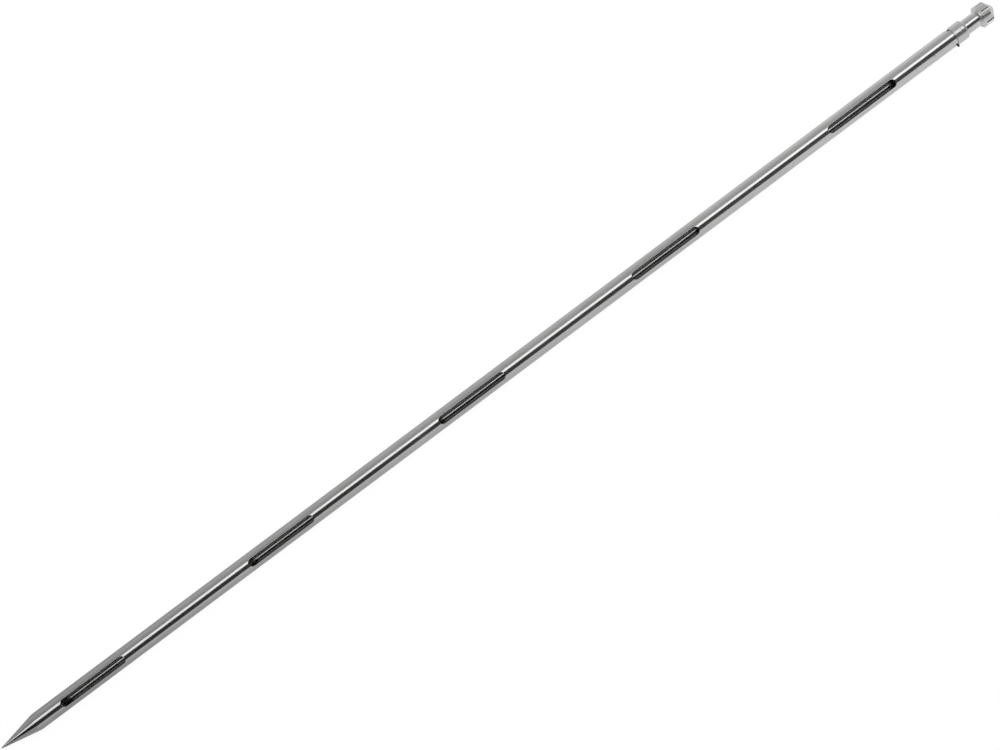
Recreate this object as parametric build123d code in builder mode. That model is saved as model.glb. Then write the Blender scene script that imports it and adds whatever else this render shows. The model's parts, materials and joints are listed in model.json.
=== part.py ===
from build123d import *
from math import acos, asin, atan, atan2, cos, degrees, hypot, radians, sin
import os

# Double-tube sampling probe for grain and powder, lying as it comes to rest.
# The outer tube ends in a turned point and has a row of slots. A second tube with the same slots turns
# inside it on a foot journal and a head spigot, and opens or closes all its chambers at once.
# Lengths along the probe are measured from its point. Angles round it are measured from the line of
# slots and grow by the right-hand rule about the direction from point to head.

# Outer tube and its point
tube_diameter = 25.0
tube_wall = 1.5
cone_length = 63.0
cone_blend = 30.0
nose_radius = 0.8
tip_spigot_length = 15.0
pivot_diameter = 12.0
pivot_depth = 12.0

# Row of sampling slots
chamber_count = 5
chamber_pitch = 314.3
cone_to_first_slot = 94.4
last_slot_to_rim = 147.4
slot_length = 106.5
slot_width = 11.2

# Inner tube and what closes its chambers
inner_gap = 0.4
inner_wall = 1.2
end_float = 0.5
foot_length = 16.0
chamber_margin = 8.0

# Head that turns the inner tube
running_clearance = 0.05
spigot_length = 45.0
collar_gap = 0.3
collar_diameter = 26.0
collar_length = 18.6
collar_chamfer = 2.6
neck_diameter = 20.2
neck_length = 19.6
knob_diameter = 30.4
knob_chamfer = 1.5
land_length = 13.7
shoulder_length = 1.2
dome_height = 7.6
dome_nose_radius = 8.0

# Flutes of the knob, cut by a ball-nosed cutter
flute_count = 6
flute_cutter_radius = 5.2
flute_cutter_rise = 1.4
flute_setback = 2.8

# Stop pin, its window in the tube's eased rim, the end pin that closes it, and the guide pin in its groove
rim_ease = 0.15
stop_pin_diameter = 3.2
stop_pin_root = 5.0
stop_pin_height = 3.1
stop_pin_chamfer = 0.5
stop_pin_angle = 64.0
window_sweep = 230.0
window_clearance = 0.3
guide_pin_angle = 26.5
guide_pin_to_rim = 35.0
guide_pin_diameter = 4.0
guide_pin_height = 0.2
guide_crown_width = 1.2
guide_point_diameter = 2.5
guide_clearance = 0.3
groove_depth = 1.55

# Turn of the slots away from straight up, towards -Y, as the probe lies
slot_lean = 18.5

# Derived radii
tube_radius = tube_diameter / 2
tube_bore = tube_radius - tube_wall
inner_radius = tube_bore - inner_gap
inner_bore = inner_radius - inner_wall
spigot_radius = tube_bore - running_clearance
groove_radius = spigot_radius - groove_depth
collar_radius = collar_diameter / 2
neck_radius = neck_diameter / 2
knob_radius = knob_diameter / 2
shoulder_radius = knob_radius - shoulder_length
pivot_radius = pivot_diameter / 2
stop_pin_radius = stop_pin_diameter / 2
guide_pin_radius = guide_pin_diameter / 2
guide_point_radius = guide_point_diameter / 2

# Derived stations along the probe
chamber_reach = slot_length / 2 + chamber_margin
first_slot_at = cone_length + cone_to_first_slot
slot_centres = [first_slot_at + number * chamber_pitch for number in range(chamber_count)]
spigot_end = cone_length + tip_spigot_length
inner_start = spigot_end + end_float
foot_end = inner_start + foot_length
rim_at = slot_centres[-1] + last_slot_to_rim
inner_end = rim_at - spigot_length
stub_start = slot_centres[-1] + chamber_reach
collar_at = rim_at + collar_gap
neck_at = collar_at + collar_length
knob_at = neck_at + neck_length
land_at = knob_at + knob_chamfer
land_end = land_at + land_length
shoulder_at = land_end + shoulder_length
probe_length = shoulder_at + dome_height
notch_radius = stop_pin_radius + window_clearance
stop_pin_at = rim_at - notch_radius
window_at = rim_at - 2 * notch_radius
guide_pin_at = rim_at - guide_pin_to_rim
groove_half_width = guide_point_radius + guide_clearance

# The end pin fills the window's far end, and the stop pin comes to rest against it
end_pin_angle = stop_pin_angle + window_sweep
pin_spacing = degrees(2 * asin((stop_pin_radius + notch_radius + window_clearance) / tube_bore / 2))
turn_travel = window_sweep - pin_spacing

# The cone's side is the common tangent of the nose and of the blend into the tube
nose_to_blend = cone_length - nose_radius
blend_drop = cone_blend - tube_radius
cone_angle = degrees(
    asin((cone_blend - nose_radius) / hypot(nose_to_blend, blend_drop)) - atan2(blend_drop, nose_to_blend)
)

# The dome's side is the tangent from its shoulder to its rounded nose
nose_to_shoulder = dome_nose_radius - dome_height
dome_slope = degrees(
    atan2(shoulder_radius, nose_to_shoulder) - acos(dome_nose_radius / hypot(nose_to_shoulder, shoulder_radius))
)

# A flute's half opening, seen from the axis, and the station from which it has its full width
flute_centre = knob_radius + flute_cutter_rise
flute_opening = acos(
    (knob_radius**2 + flute_centre**2 - flute_cutter_radius**2) / (2 * knob_radius * flute_centre)
)
flute_mouth = knob_radius * sin(flute_opening)
flute_end_at = knob_at + flute_setback + flute_mouth

# The probe lies on the knob's land and on the tube's edge at the cone, so its axis rises to the head
lie_angle = atan((knob_radius - tube_radius) / (land_at - cone_length))
point_height = tube_radius * cos(lie_angle) - cone_length * sin(lie_angle)
point = Vector(-probe_length * cos(lie_angle) / 2, 0, point_height)
along = Vector(cos(lie_angle), 0, sin(lie_angle))
upwards = Vector(-sin(lie_angle), 0, cos(lie_angle))
slot_normal = upwards * cos(radians(slot_lean)) - Vector(0, 1, 0) * sin(radians(slot_lean))
slot_side = along.cross(slot_normal)

# Planes that carry every sketch: across the probe, and through its axis
across = Plane(origin=point, x_dir=slot_normal, z_dir=along)
lengthwise = Plane(origin=point, x_dir=along, z_dir=slot_side)
probe_axis = Axis(point, along)


# Plane through the axis that faces outwards at an angle from the slots, moved out by reach
def facing(angle, reach=0.0):
    outwards = slot_normal * cos(radians(angle)) + slot_side * sin(radians(angle))
    return Plane(origin=point, x_dir=along, z_dir=outwards).offset(reach)


# Outer tube: slots on one side, and a window in the rim between the stop pin's two ends of travel
with BuildPart() as outer_tube:
    with BuildSketch(lengthwise):
        with BuildLine():
            Polyline(
                (cone_length, tube_bore),
                (cone_length, tube_radius),
                (window_at, tube_radius),
                (rim_at, tube_radius - rim_ease),
                (rim_at, tube_bore),
                close=True,
            )
        make_face()
    revolve(axis=probe_axis)
    with BuildSketch(facing(0)):
        with Locations(*[(centre, 0) for centre in slot_centres]):
            SlotOverall(slot_length, slot_width)
    extrude(amount=tube_diameter, mode=Mode.SUBTRACT)
    with BuildSketch(across.offset(window_at)):
        with BuildLine():
            sweep_arc = CenterArc((0, 0), tube_diameter, stop_pin_angle, window_sweep)
            Line((0, 0), sweep_arc @ 0)
            Line(sweep_arc @ 1, (0, 0))
        make_face()
    extrude(amount=2 * notch_radius, mode=Mode.SUBTRACT)
    for stop_angle in (stop_pin_angle, end_pin_angle):
        with BuildSketch(facing(stop_angle)):
            with Locations((stop_pin_at, 0)):
                Circle(notch_radius)
                Rectangle(2 * notch_radius, 2 * notch_radius, align=(Align.MIN, Align.CENTER))
        extrude(amount=tube_diameter, mode=Mode.SUBTRACT)
    with BuildSketch(facing(guide_pin_angle)):
        with Locations((guide_pin_at, 0)):
            Circle(guide_pin_radius)
    extrude(amount=tube_diameter, mode=Mode.SUBTRACT)
outer_tube.part.label = "outer_tube"

# Point: a turned cone whose spigot fills the tube's end and holds the inner tube's foot journal
with BuildPart() as pointed_tip:
    with BuildSketch(lengthwise):
        with BuildLine():
            nose = CenterArc((nose_radius, 0), nose_radius, 90 + cone_angle, 90 - cone_angle)
            blend = CenterArc((cone_length, tube_radius - cone_blend), cone_blend, 90, cone_angle)
            Line(blend @ 1, nose @ 0)
            Polyline(
                nose @ 1,
                (spigot_end, 0),
                (spigot_end, tube_bore),
                (cone_length, tube_bore),
                blend @ 0,
            )
        make_face()
    revolve(axis=probe_axis)
    with Locations(across.offset(spigot_end)):
        Hole(pivot_radius, depth=pivot_depth)
pointed_tip.part.label = "pointed_tip"

# Guide pin: fixed in the outer wall with a low crowned end, its point runs in the spigot's groove
with BuildPart() as guide_pin:
    with BuildSketch(facing(guide_pin_angle, tube_bore + running_clearance)):
        with Locations((guide_pin_at, 0)):
            Circle(guide_pin_radius)
    extrude(amount=tube_wall - running_clearance + guide_pin_height)
    crown = guide_pin.faces().sort_by(Axis(point, facing(guide_pin_angle).z_dir))[-1]
    chamfer(crown.edges(), guide_crown_width, guide_pin_height, reference=crown)
    with BuildSketch(facing(guide_pin_angle, groove_radius + guide_clearance)):
        with Locations((guide_pin_at, 0)):
            Circle(guide_point_radius)
    extrude(amount=tube_bore + running_clearance - groove_radius - guide_clearance)
guide_pin.part.label = "guide_pin"

# End pin: fixed in the far end of the rim's window, flush with the tube
with BuildPart() as end_pin:
    with BuildSketch(facing(end_pin_angle, tube_bore + running_clearance)):
        with Locations((stop_pin_at, 0)):
            Circle(notch_radius)
    extrude(amount=tube_wall - running_clearance - rim_ease)
end_pin.part.label = "end_pin"

# Inner tube: the same slots as the outer tube
with BuildPart() as inner_tube:
    with BuildSketch(across.offset(inner_start)):
        Circle(inner_radius)
        Circle(inner_bore, mode=Mode.SUBTRACT)
    extrude(amount=inner_end - inner_start)
    with BuildSketch(facing(0)):
        with Locations(*[(centre, 0) for centre in slot_centres]):
            SlotOverall(slot_length, slot_width)
    extrude(amount=tube_diameter, mode=Mode.SUBTRACT)
inner_tube.part.label = "inner_tube"

# Foot plug: closes the lowest chamber, and its journal turns in the point's bore
with BuildPart() as foot_plug:
    with BuildSketch(across.offset(spigot_end - pivot_depth + end_float)):
        Circle(pivot_radius - running_clearance)
    extrude(amount=pivot_depth)
    with BuildSketch(across.offset(inner_start)):
        Circle(inner_bore)
    extrude(amount=foot_length)
foot_plug.part.label = "foot_plug"


# Partition: a rod that fills the inner tube between one chamber and the next, so no grain is lost there
def make_partition(number, start, end):
    with BuildPart() as partition:
        with BuildSketch(across.offset(start)):
            Circle(inner_bore)
        extrude(amount=end - start)
    partition.part.label = f"partition_{number}"
    return partition


partitions = []
for number, (below, above) in enumerate(zip(slot_centres, slot_centres[1:]), start=1):
    partitions.append(make_partition(number, below + chamber_reach, above - chamber_reach))

# Head: stub, grooved spigot, collar, neck and fluted knob, turned in one piece
with BuildPart() as turning_head:
    with BuildSketch(lengthwise):
        with BuildLine():
            dome = CenterArc((probe_length - dome_nose_radius, 0), dome_nose_radius, 0, dome_slope)
            Polyline(
                dome @ 0,
                (stub_start, 0),
                (stub_start, inner_bore),
                (inner_end, inner_bore),
                (inner_end, spigot_radius),
                (guide_pin_at - groove_half_width, spigot_radius),
                (guide_pin_at - groove_half_width, groove_radius),
                (guide_pin_at + groove_half_width, groove_radius),
                (guide_pin_at + groove_half_width, spigot_radius),
                (collar_at, spigot_radius),
                (collar_at, collar_radius),
                (neck_at - collar_chamfer, collar_radius),
                (neck_at, collar_radius - collar_chamfer),
                (neck_at, neck_radius),
                (knob_at, neck_radius),
                (knob_at, knob_radius - knob_chamfer),
                (land_at, knob_radius),
                (land_end, knob_radius),
                (shoulder_at, shoulder_radius),
                dome @ 1,
            )
        make_face()
    revolve(axis=probe_axis)
    with BuildSketch(across.offset(flute_end_at)):
        with PolarLocations(flute_centre, flute_count, start_angle=-slot_lean):
            Circle(flute_cutter_radius)
    extrude(amount=probe_length - flute_end_at, mode=Mode.SUBTRACT)
    with Locations(across.offset(flute_end_at)):
        with PolarLocations(flute_centre, flute_count, start_angle=-slot_lean):
            Sphere(flute_cutter_radius, mode=Mode.SUBTRACT)
    with BuildSketch(facing(stop_pin_angle, stop_pin_root)):
        with Locations((stop_pin_at, 0)):
            Circle(stop_pin_radius)
    extrude(amount=tube_radius, mode=Mode.SUBTRACT)
turning_head.part.label = "turning_head"

# Stop pin: stands in the spigot and swings in the rim's window
with BuildPart() as stop_pin:
    with BuildSketch(facing(stop_pin_angle, stop_pin_root)):
        with Locations((stop_pin_at, 0)):
            Circle(stop_pin_radius)
    extrude(amount=tube_radius + stop_pin_height - stop_pin_root)
    chamfer(stop_pin.edges().sort_by(Axis(point, facing(stop_pin_angle).z_dir))[-1], stop_pin_chamfer)
stop_pin.part.label = "stop_pin"

still_pieces = [outer_tube, pointed_tip, guide_pin, end_pin]
turning_pieces = [inner_tube, foot_plug, *partitions, turning_head, stop_pin]
os.makedirs("parts", exist_ok=True)
for piece in still_pieces + turning_pieces:
    export_step(piece.part, f"parts/{piece.part.label}.step")
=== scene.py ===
"""Sampling probe: a slotted double tube with a turned point and a fluted head that turns the inner tube.

Stations are millimetres along the probe from its point. Angles are radians round it from the line of slots, by the
right-hand rule about the direction from point to head. Every mesh ends up in metres in the shared frame.
"""

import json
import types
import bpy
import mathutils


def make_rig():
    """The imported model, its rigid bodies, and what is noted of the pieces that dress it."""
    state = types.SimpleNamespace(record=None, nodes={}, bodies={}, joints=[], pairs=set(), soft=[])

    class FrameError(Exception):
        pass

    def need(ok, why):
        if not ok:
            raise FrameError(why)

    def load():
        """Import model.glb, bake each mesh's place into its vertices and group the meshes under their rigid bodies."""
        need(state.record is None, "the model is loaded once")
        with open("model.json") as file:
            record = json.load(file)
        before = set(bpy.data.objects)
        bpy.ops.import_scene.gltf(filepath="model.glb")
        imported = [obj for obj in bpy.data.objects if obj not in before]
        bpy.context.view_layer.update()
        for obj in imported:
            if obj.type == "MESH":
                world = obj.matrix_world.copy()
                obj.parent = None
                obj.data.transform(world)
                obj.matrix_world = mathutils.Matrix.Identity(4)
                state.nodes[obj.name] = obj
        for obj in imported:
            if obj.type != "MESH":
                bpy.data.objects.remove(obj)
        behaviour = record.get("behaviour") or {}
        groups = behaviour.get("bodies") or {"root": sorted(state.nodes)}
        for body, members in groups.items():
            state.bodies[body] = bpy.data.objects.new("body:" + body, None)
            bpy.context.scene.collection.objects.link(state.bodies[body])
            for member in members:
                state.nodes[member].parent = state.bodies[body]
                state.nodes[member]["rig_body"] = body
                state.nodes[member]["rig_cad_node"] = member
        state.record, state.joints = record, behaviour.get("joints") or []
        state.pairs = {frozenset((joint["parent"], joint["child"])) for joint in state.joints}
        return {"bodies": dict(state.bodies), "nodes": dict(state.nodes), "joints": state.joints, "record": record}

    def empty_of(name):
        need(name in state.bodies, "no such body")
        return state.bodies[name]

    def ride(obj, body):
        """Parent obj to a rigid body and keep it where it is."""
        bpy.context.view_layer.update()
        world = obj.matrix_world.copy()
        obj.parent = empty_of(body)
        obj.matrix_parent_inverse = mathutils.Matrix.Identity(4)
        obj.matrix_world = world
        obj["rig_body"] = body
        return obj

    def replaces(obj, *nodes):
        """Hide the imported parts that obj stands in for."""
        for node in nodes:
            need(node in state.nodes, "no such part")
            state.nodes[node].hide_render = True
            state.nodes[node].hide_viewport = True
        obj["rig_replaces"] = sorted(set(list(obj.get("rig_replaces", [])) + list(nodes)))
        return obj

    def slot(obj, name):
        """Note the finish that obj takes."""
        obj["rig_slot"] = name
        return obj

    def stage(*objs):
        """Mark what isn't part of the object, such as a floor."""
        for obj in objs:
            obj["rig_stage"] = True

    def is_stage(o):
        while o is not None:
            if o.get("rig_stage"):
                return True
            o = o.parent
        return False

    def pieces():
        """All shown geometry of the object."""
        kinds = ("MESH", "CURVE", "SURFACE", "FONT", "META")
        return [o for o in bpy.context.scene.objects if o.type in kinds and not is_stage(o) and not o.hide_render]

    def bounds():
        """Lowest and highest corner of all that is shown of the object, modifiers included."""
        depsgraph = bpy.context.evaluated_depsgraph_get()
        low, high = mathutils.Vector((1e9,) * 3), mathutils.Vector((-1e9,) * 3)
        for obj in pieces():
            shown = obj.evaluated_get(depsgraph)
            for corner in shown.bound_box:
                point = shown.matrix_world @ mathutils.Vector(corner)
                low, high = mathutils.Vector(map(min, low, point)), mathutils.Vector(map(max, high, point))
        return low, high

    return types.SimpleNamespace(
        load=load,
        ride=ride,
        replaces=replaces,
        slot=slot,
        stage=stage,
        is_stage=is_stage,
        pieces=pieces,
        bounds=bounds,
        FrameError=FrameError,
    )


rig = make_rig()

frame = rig.load()
cad_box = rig.bounds()

import json
import logging
from dataclasses import dataclass, field
from enum import Enum
from functools import cached_property
from math import acos, asin, atan, atan2, ceil, cos, hypot, inf, pi, radians, sin, sqrt, tan
from typing import Callable, Iterable, Sequence

import bmesh
import bpy
from mathutils import Matrix, Vector

log = logging.getLogger("sampling_probe")
MM = 0.001
Polar = tuple[float, float, float]
Rows = list[list[int]]


@dataclass(frozen=True)
class ProbeSizes:
    """Sizes that more than one piece of the probe follows, in millimetres and degrees."""

    tube_radius: float = 12.5
    tube_bore: float = 11.0
    inner_radius: float = 10.6
    inner_bore: float = 9.4
    cone_length: float = 63.0
    spigot_end: float = 78.0
    inner_start: float = 78.5
    inner_end: float = 1517.0
    slot_centres: tuple[float, ...] = (157.4, 471.7, 786.0, 1100.3, 1414.6)
    slot_half_length: float = 53.25
    slot_half_width: float = 5.6
    rim: float = 1562.0
    rim_ease: float = 0.15
    stop_angle: float = 64.0
    window_sweep: float = 230.0
    notch_radius: float = 1.9
    guide_angle: float = 26.5
    guide_at: float = 1527.0
    spigot_radius: float = 10.95
    knob_radius: float = 15.2
    land_start: float = 1602.0
    probe_length: float = 1624.5
    slot_lean: float = 18.5

    @property
    def stop_at(self) -> float:
        """Station of the stop pin's centre."""
        return self.rim - self.notch_radius

    @property
    def window_start(self) -> float:
        """Station of the floor of the rim's window."""
        return self.rim - 2 * self.notch_radius


@dataclass(frozen=True)
class ProbeLine:
    """The probe's axis as it lies on the floor, and the direction that its slots face."""

    sizes: ProbeSizes

    @cached_property
    def lie(self) -> float:
        """Rise of the axis from the cone to the knob, in radians."""
        s = self.sizes
        return atan((s.knob_radius - s.tube_radius) / (s.land_start - s.cone_length))

    @cached_property
    def along(self) -> Vector:
        """Direction from the point to the head."""
        return Vector((cos(self.lie), 0.0, sin(self.lie)))

    @cached_property
    def up(self) -> Vector:
        """Direction square to the axis that is nearest to straight up."""
        return Vector((-sin(self.lie), 0.0, cos(self.lie)))

    @cached_property
    def point(self) -> Vector:
        """The tip of the point.

        Returns:
            Its place in millimetres.
        """
        s = self.sizes
        height = s.tube_radius * cos(self.lie) - s.cone_length * sin(self.lie)
        return Vector((-s.probe_length * cos(self.lie) / 2, 0.0, height))

    @cached_property
    def slot_normal(self) -> Vector:
        """Direction that the slots face."""
        lean = radians(self.sizes.slot_lean)
        return self.up * cos(lean) - Vector((0.0, 1.0, 0.0)) * sin(lean)

    @cached_property
    def slot_side(self) -> Vector:
        """Direction across the slots, a quarter turn on from slot_normal."""
        return self.along.cross(self.slot_normal)

    def outward(self, angle: float) -> Vector:
        """Direction away from the axis at an angle from the slots."""
        return self.slot_normal * cos(angle) + self.slot_side * sin(angle)

    def station(self, place: Vector) -> float:
        """Station, in millimetres, of a point of the frame given in metres."""
        return (place / MM - self.point).dot(self.along)

    def at(self, station: float, radius: float = 0.0, angle: float = 0.0) -> Vector:
        """Point of the frame, in metres, at a station, a radius and an angle."""
        return (self.point + self.along * station + self.outward(angle) * radius) * MM


class MeshDraft:
    """Collects rows of points and the faces between them, and welds them into one piece."""

    def __init__(self, line: ProbeLine) -> None:
        """Starts an empty draft.

        Args:
            line: the probe's axis, to which the stations and angles belong.
        """
        self.line = line
        self.points: list[Vector] = []
        self.faces: list[tuple[int, ...]] = []

    def row(self, places: Iterable[Polar]) -> list[int]:
        """Adds points given as (station, radius, angle).

        Returns:
            Their indices in this draft.
        """
        return self.free_row(self.line.at(*place) for place in places)

    def free_row(self, places: Iterable[Vector]) -> list[int]:
        """Adds points of the frame.

        Args:
            places: the points, in metres.

        Returns:
            Their indices in this draft.
        """
        first = len(self.points)
        self.points.extend(places)
        return list(range(first, len(self.points)))

    def bridge(self, rows: Rows, closed: bool = True) -> None:
        """Joins each row to the next with four-sided faces.

        Args:
            rows: rows of equal length.
            closed: whether the last point of a row joins its first.
        """
        for lower, upper in zip(rows, rows[1:]):
            count = len(lower)
            for i in range(count if closed else count - 1):
                j = (i + 1) % count
                self.faces.append((lower[i], lower[j], upper[j], upper[i]))

    def piece(self, name: str, sharp: float = 40.0) -> bpy.types.Object:
        """Welds the draft into an object with smooth faces and crisp edges.

        Args:
            name: name of the object.
            sharp: angle in degrees above which an edge stays crisp.

        Returns:
            The new object, linked to the scene.
        """
        mesh = bpy.data.meshes.new(name)
        build = bmesh.new()
        made = [build.verts.new(p) for p in self.points]
        for face in self.faces:
            try:
                build.faces.new([made[i] for i in face])
            except ValueError:
                continue
        bmesh.ops.remove_doubles(build, verts=build.verts, dist=4e-7)
        bmesh.ops.dissolve_degenerate(build, edges=build.edges, dist=1e-8)
        bmesh.ops.recalc_face_normals(build, faces=build.faces)
        for face in build.faces:
            face.smooth = True
        build.to_mesh(mesh)
        build.free()
        mesh.set_sharp_from_angle(angle=radians(sharp))
        made_object = bpy.data.objects.new(name, mesh)
        bpy.context.scene.collection.objects.link(made_object)
        return made_object


@dataclass(frozen=True)
class Corner:
    """A corner of a turned outline and the radius that breaks it, in millimetres."""

    station: float
    radius: float
    rounding: float = 0.0


def turned_outline(corners: Sequence[Corner], arc_steps: int = 4, longest: float = 6.0) -> list[tuple[float, float]]:
    """Rounds the corners of an outline and divides its long runs.

    Args:
        corners: the outline's corners in order.
        arc_steps: faces round each broken corner.
        longest: longest run between two points, in millimetres.

    Returns:
        Points as (station, radius).
    """
    rough: list[tuple[float, float]] = []
    for i, corner in enumerate(corners):
        here = Vector((corner.station, corner.radius))
        if corner.rounding <= 0 or i in (0, len(corners) - 1):
            rough.append((here.x, here.y))
            continue
        back = Vector((corners[i - 1].station, corners[i - 1].radius)) - here
        ahead = Vector((corners[i + 1].station, corners[i + 1].radius)) - here
        opening = back.angle(ahead)
        reach = min(corner.rounding / tan(opening / 2), 0.45 * back.length, 0.45 * ahead.length)
        size = reach * tan(opening / 2)
        centre = here + (back.normalized() + ahead.normalized()).normalized() * (size / sin(opening / 2))
        start = here + back.normalized() * reach - centre
        end = here + ahead.normalized() * reach - centre
        for step in range(arc_steps + 1):
            way = start.lerp(end, step / arc_steps).normalized() * size
            rough.append((centre.x + way.x, centre.y + way.y))
    fine = [rough[0]]
    for a, b in zip(rough, rough[1:]):
        parts = max(1, ceil(hypot(b[0] - a[0], b[1] - a[1]) / longest))
        fine.extend((a[0] + (b[0] - a[0]) * k / parts, a[1] + (b[1] - a[1]) * k / parts) for k in range(1, parts + 1))
    return fine


def spaced(start: float, end: float, steps: int) -> list[float]:
    """Evenly spaced numbers from start to end, both included."""
    return [start + (end - start) * i / steps for i in range(steps + 1)]


# ---------------------------------------------------------------------------------------------------------------------
# Finishes


class GrainRun(Enum):
    """Direction in which a surface was finished."""

    LENGTHWISE = (6.0, 1500.0, 1500.0)
    TURNED = (2600.0, 30.0, 30.0)
    NONE = (300.0, 300.0, 300.0)


class GroupBuilder:
    """Makes a shader node group with named sockets."""

    def __init__(self, name: str, inputs: dict[str, tuple[str, object]], outputs: dict[str, str]) -> None:
        """Starts the group.

        Args:
            name: the group's name.
            inputs: socket name to (socket type, default value or None).
            outputs: socket name to socket type.
        """
        self.tree = bpy.data.node_groups.new(name, "ShaderNodeTree")
        for label, (kind, value) in inputs.items():
            socket = self.tree.interface.new_socket(name=label, in_out="INPUT", socket_type=kind)
            if value is not None:
                socket.default_value = value
        for label, kind in outputs.items():
            self.tree.interface.new_socket(name=label, in_out="OUTPUT", socket_type=kind)
        self.given = self.tree.nodes.new("NodeGroupInput")
        self.result = self.tree.nodes.new("NodeGroupOutput")

    def node(self, kind: str, **values: object) -> bpy.types.Node:
        """Adds a node, sets its properties by name, and links or sets its inputs, which are given as in_0, in_1..."""
        return add_node(self.tree, kind, **values)

    def give(self, label: str, socket: bpy.types.NodeSocket) -> None:
        """Feeds one of the group's outputs."""
        self.tree.links.new(socket, self.result.inputs[label])


def add_node(tree: bpy.types.NodeTree, kind: str, **values: object) -> bpy.types.Node:
    """Adds a node to a tree.

    Args:
        tree: the node tree.
        kind: the node's type.
        **values: properties by name, and inputs as in_N or in_Name, each a value or a socket to link.

    Returns:
        The new node.
    """
    node = tree.nodes.new(kind)
    for key, value in values.items():
        if key.startswith("in_"):
            continue
        setattr(node, key, value)
    for key, value in values.items():
        if not key.startswith("in_"):
            continue
        label = key[3:].replace("_", " ")
        target = node.inputs[int(label)] if label.isdigit() else node.inputs[label]
        if isinstance(value, bpy.types.NodeSocket):
            tree.links.new(value, target)
        else:
            target.default_value = value
    return node


def metal_grain_group() -> bpy.types.NodeTree:
    """Fine finishing lines, stretched by the scale that it is given.

    Returns:
        The group; its Lines output is a height from 0 to 1, and Streaks a broader mask of the same run.
    """
    group = GroupBuilder(
        "metal_grain",
        {"Position": ("NodeSocketVector", None), "Run": ("NodeSocketVector", (6.0, 1500.0, 1500.0))},
        {"Lines": "NodeSocketFloat", "Streaks": "NodeSocketFloat"},
    )
    place = group.node("ShaderNodeVectorMath", operation="MULTIPLY", in_0=group.given.outputs["Position"],
                       in_1=group.given.outputs["Run"])
    fine = group.node("ShaderNodeTexNoise", in_Vector=place.outputs[0], in_Scale=1.0, in_Detail=4.0,
                      in_Roughness=0.65)
    wide_place = group.node("ShaderNodeVectorMath", operation="SCALE", in_0=place.outputs[0], in_Scale=0.21)
    wide = group.node("ShaderNodeTexNoise", in_Vector=wide_place.outputs[0], in_Scale=1.0, in_Detail=3.0,
                      in_Roughness=0.5)
    group.give("Lines", fine.outputs[0])
    group.give("Streaks", wide.outputs[0])
    return group.tree


def handling_marks_group() -> bpy.types.NodeTree:
    """Smudges from hands and cloths, and stray fine scratches.

    Returns:
        The group, with masks Smudges and Scratches from 0 to 1.
    """
    group = GroupBuilder(
        "handling_marks",
        {"Position": ("NodeSocketVector", None), "Patch Size": ("NodeSocketFloat", 0.02)},
        {"Smudges": "NodeSocketFloat", "Scratches": "NodeSocketFloat"},
    )
    scale = group.node("ShaderNodeMath", operation="DIVIDE", in_0=1.0, in_1=group.given.outputs["Patch Size"])
    patch = group.node("ShaderNodeTexNoise", in_Vector=group.given.outputs["Position"], in_Scale=scale.outputs[0],
                       in_Detail=5.0, in_Roughness=0.6, in_Distortion=0.8)
    smudge = group.node("ShaderNodeMapRange", in_Value=patch.outputs[0], in_1=0.48, in_2=0.72)
    group.give("Smudges", smudge.outputs[0])
    turned = group.node("ShaderNodeVectorRotate", rotation_type="AXIS_ANGLE",
                        in_Vector=group.given.outputs["Position"], in_Axis=(0.3, 0.6, 0.7), in_Angle=0.5)
    stretched = group.node("ShaderNodeVectorMath", operation="MULTIPLY", in_0=turned.outputs[0],
                           in_1=(70.0, 1100.0, 1100.0))
    hair = group.node("ShaderNodeTexNoise", in_Vector=stretched.outputs[0], in_Scale=1.0, in_Detail=2.0)
    scratch = group.node("ShaderNodeMapRange", in_Value=hair.outputs[0], in_1=0.69, in_2=0.75)
    where = group.node("ShaderNodeTexNoise", in_Vector=group.given.outputs["Position"], in_Scale=90.0, in_Detail=2.0)
    gate = group.node("ShaderNodeMapRange", in_Value=where.outputs[0], in_1=0.5, in_2=0.62)
    both = group.node("ShaderNodeMath", operation="MULTIPLY", in_0=scratch.outputs[0], in_1=gate.outputs[0])
    group.give("Scratches", both.outputs[0])
    return group.tree


def tone_drift_group() -> bpy.types.NodeTree:
    """Slight warm, cool and grey patches over a metal's own colour.

    Returns:
        The group, whose output is the drifted colour.
    """
    group = GroupBuilder(
        "tone_drift",
        {"Position": ("NodeSocketVector", None), "Colour": ("NodeSocketColor", (0.6, 0.6, 0.6, 1.0)),
         "Amount": ("NodeSocketFloat", 0.06), "Patch Size": ("NodeSocketFloat", 0.03)},
        {"Colour": "NodeSocketColor"},
    )
    scale = group.node("ShaderNodeMath", operation="DIVIDE", in_0=1.0, in_1=group.given.outputs["Patch Size"])
    patch = group.node("ShaderNodeTexNoise", in_Vector=group.given.outputs["Position"], in_Scale=scale.outputs[0],
                       in_Detail=4.0, in_Roughness=0.55)
    tint = group.node("ShaderNodeMix", data_type="RGBA", in_0=patch.outputs[0], in_6=(0.93, 0.98, 1.06, 1.0),
                      in_7=(1.06, 1.0, 0.94, 1.0))
    shade = group.node("ShaderNodeTexNoise", in_Vector=group.given.outputs["Position"], in_Scale=23.0, in_Detail=6.0,
                       in_Roughness=0.7)
    level = group.node("ShaderNodeMapRange", in_Value=shade.outputs[0], in_1=0.3, in_2=0.7, in_3=0.86, in_4=1.08)
    grey = group.node("ShaderNodeVectorMath", operation="SCALE", in_0=tint.outputs[2], in_Scale=level.outputs[0])
    drifted = group.node("ShaderNodeVectorMath", operation="MULTIPLY", in_0=group.given.outputs["Colour"],
                         in_1=grey.outputs[0])
    mixed = group.node("ShaderNodeMix", data_type="RGBA", in_0=group.given.outputs["Amount"],
                       in_6=group.given.outputs["Colour"], in_7=drifted.outputs[0])
    group.give("Colour", mixed.outputs[2])
    return group.tree


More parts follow.
